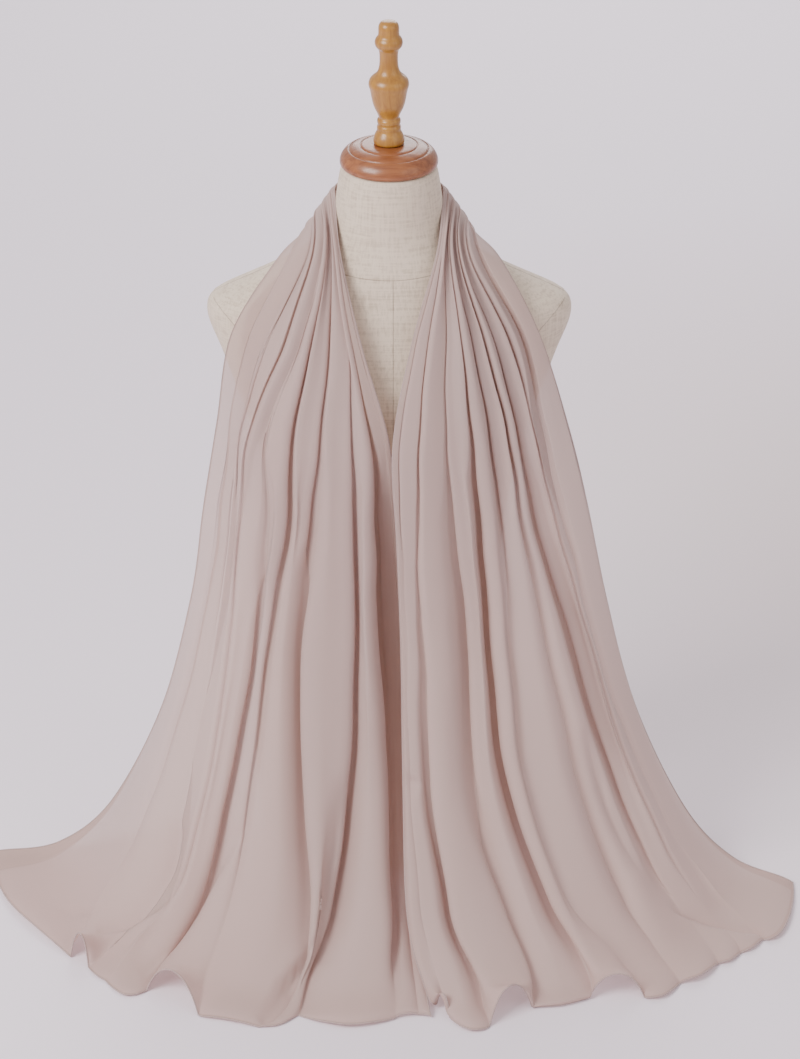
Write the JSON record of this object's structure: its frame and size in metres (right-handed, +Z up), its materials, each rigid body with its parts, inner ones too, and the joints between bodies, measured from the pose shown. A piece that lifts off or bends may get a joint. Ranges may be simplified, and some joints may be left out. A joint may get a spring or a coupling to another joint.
{
  "type": "hijab headscarf on a dress form",
  "caption": "Sheer chiffon headscarf laid round the neck of a limbless linen dress form, its pleated ends falling down the front and spreading on the surface.",
  "frame": {"origin": "centre of the dress form's flat underside, on the surface it stands on", "axes": "+Z up, -Y towards the front where the scarf's ends hang, +X to the right of someone looking at the front"},
  "size_m": [0.8525, 0.4594, 0.928],
  "materials": {
    "chiffon": "matt, sheer",
    "linen": "matt, slubbed weave",
    "cap_wood": "satin lacquer",
    "finial_wood": "satin lacquer"
  },
  "bodies": {
    "root": {"scarf_fall_left": "chiffon", "scarf_fall_right": "chiffon", "scarf_nape": "chiffon", "form_torso": "linen", "neck_cap": "cap_wood", "finial": "finial_wood"}
  },
  "joints": []
}
